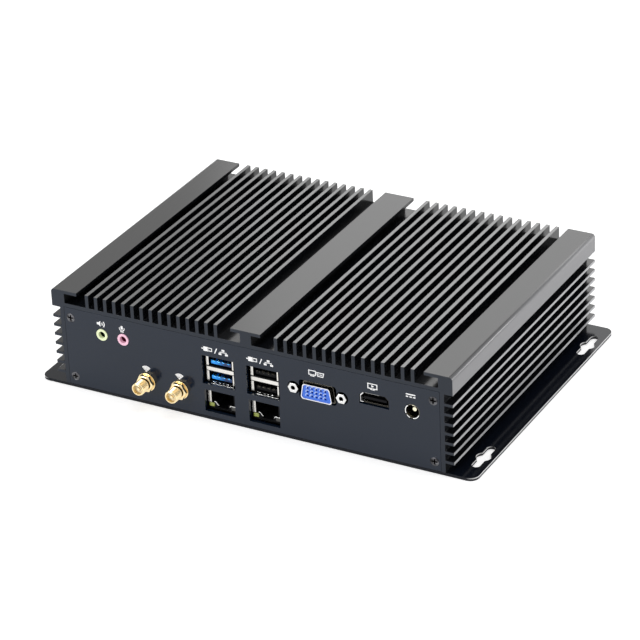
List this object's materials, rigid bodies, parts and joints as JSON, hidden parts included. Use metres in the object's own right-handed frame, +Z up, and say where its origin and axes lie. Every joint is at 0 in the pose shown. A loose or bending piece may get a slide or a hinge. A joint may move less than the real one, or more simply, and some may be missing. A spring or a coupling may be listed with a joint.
{
  "type": "fanless industrial computer",
  "caption": "Fanless industrial computer in a black finned aluminium extrusion, with flanged base plate for wall or desk mounting, ports on both end panels and a rear power button.",
  "frame": {"origin": "centre of the base plate's underside", "axes": "+X to the right and +Z up as seen facing the ports; +Y from the port side to the rear"},
  "size_m": [0.232, 0.1668, 0.0515],
  "materials": {
    "anodised_black": "black anodised, satin",
    "painted_black": "black, semi-gloss",
    "dark_steel": "blackened",
    "nickel": "bright tinned sheet",
    "bright_steel": "plated",
    "gold": "gold plated",
    "black_plastic": "moulded",
    "blue_plastic": "moulded",
    "bus_blue": "moulded",
    "lime_plastic": "moulded",
    "pink_plastic": "moulded",
    "white_plastic": "moulded",
    "lamp_plastic": "translucent",
    "board_green": "solder mask",
    "chip_black": "moulded",
    "pad_grey": "soft",
    "bare_aluminium": "milled",
    "cable_black": "smooth"
  },
  "bodies": {
    "computer": {"heatsink_housing": "anodised_black", "base_plate": "painted_black", "front_panel": "painted_black", "rear_panel": "painted_black", "front_panel_screws": "dark_steel", "rear_panel_screws": "dark_steel", "base_plate_screws": "dark_steel", "mainboard": "board_green", "board_posts": "nickel", "board_screws": "nickel", "processor": "nickel", "thermal_pad": "pad_grey", "heat_spreader": "bare_aluminium", "heat_spreader_screws": "nickel", "memory_socket": "black_plastic", "memory_module": "board_green", "memory_chips": "chip_black", "card_sockets": "black_plastic", "storage_card": "board_green", "wireless_card": "board_green", "card_chips": "chip_black", "card_posts": "nickel", "coin_cell_holder": "black_plastic", "coin_cell": "nickel", "speaker_jack": "lime_plastic", "microphone_jack": "pink_plastic", "antenna_jack_left": "gold", "antenna_jack_right": "gold", "antenna_washers": "gold", "antenna_nuts": "gold", "antenna_insulators": "white_plastic", "antenna_contacts": "gold", "antenna_leads": "cable_black", "left_ports_shield": "nickel", "left_ports_core": "black_plastic", "left_ports_tongues": "bus_blue", "right_ports_shield": "nickel", "right_ports_core": "black_plastic", "right_ports_tongues": "black_plastic", "network_lamps": "lamp_plastic", "port_contacts": "gold", "rear_ports_shield": "nickel", "rear_ports_core": "black_plastic", "video_shield": "nickel", "video_core": "blue_plastic", "video_jackscrews": "bright_steel", "serial_shields": "nickel", "serial_cores": "black_plastic", "serial_pins": "gold", "serial_jackscrews": "bright_steel", "display_shield": "nickel", "display_core": "black_plastic", "inlet_body": "black_plastic", "inlet_sleeve": "bright_steel", "inlet_pin": "bright_steel", "button_bezel": "bright_steel", "power_switch": "black_plastic", "pilot_lamps": "lamp_plastic"},
    "button": {"power_button": "bright_steel"}
  },
  "joints": [
    {"name": "power_button_press", "type": "slide", "parent": "computer", "child": "button", "axis": [0, -1, 0], "range_m": [0, 0.001], "stiffness_N_per_m": 600, "springref_m": -0.002}
  ]
}
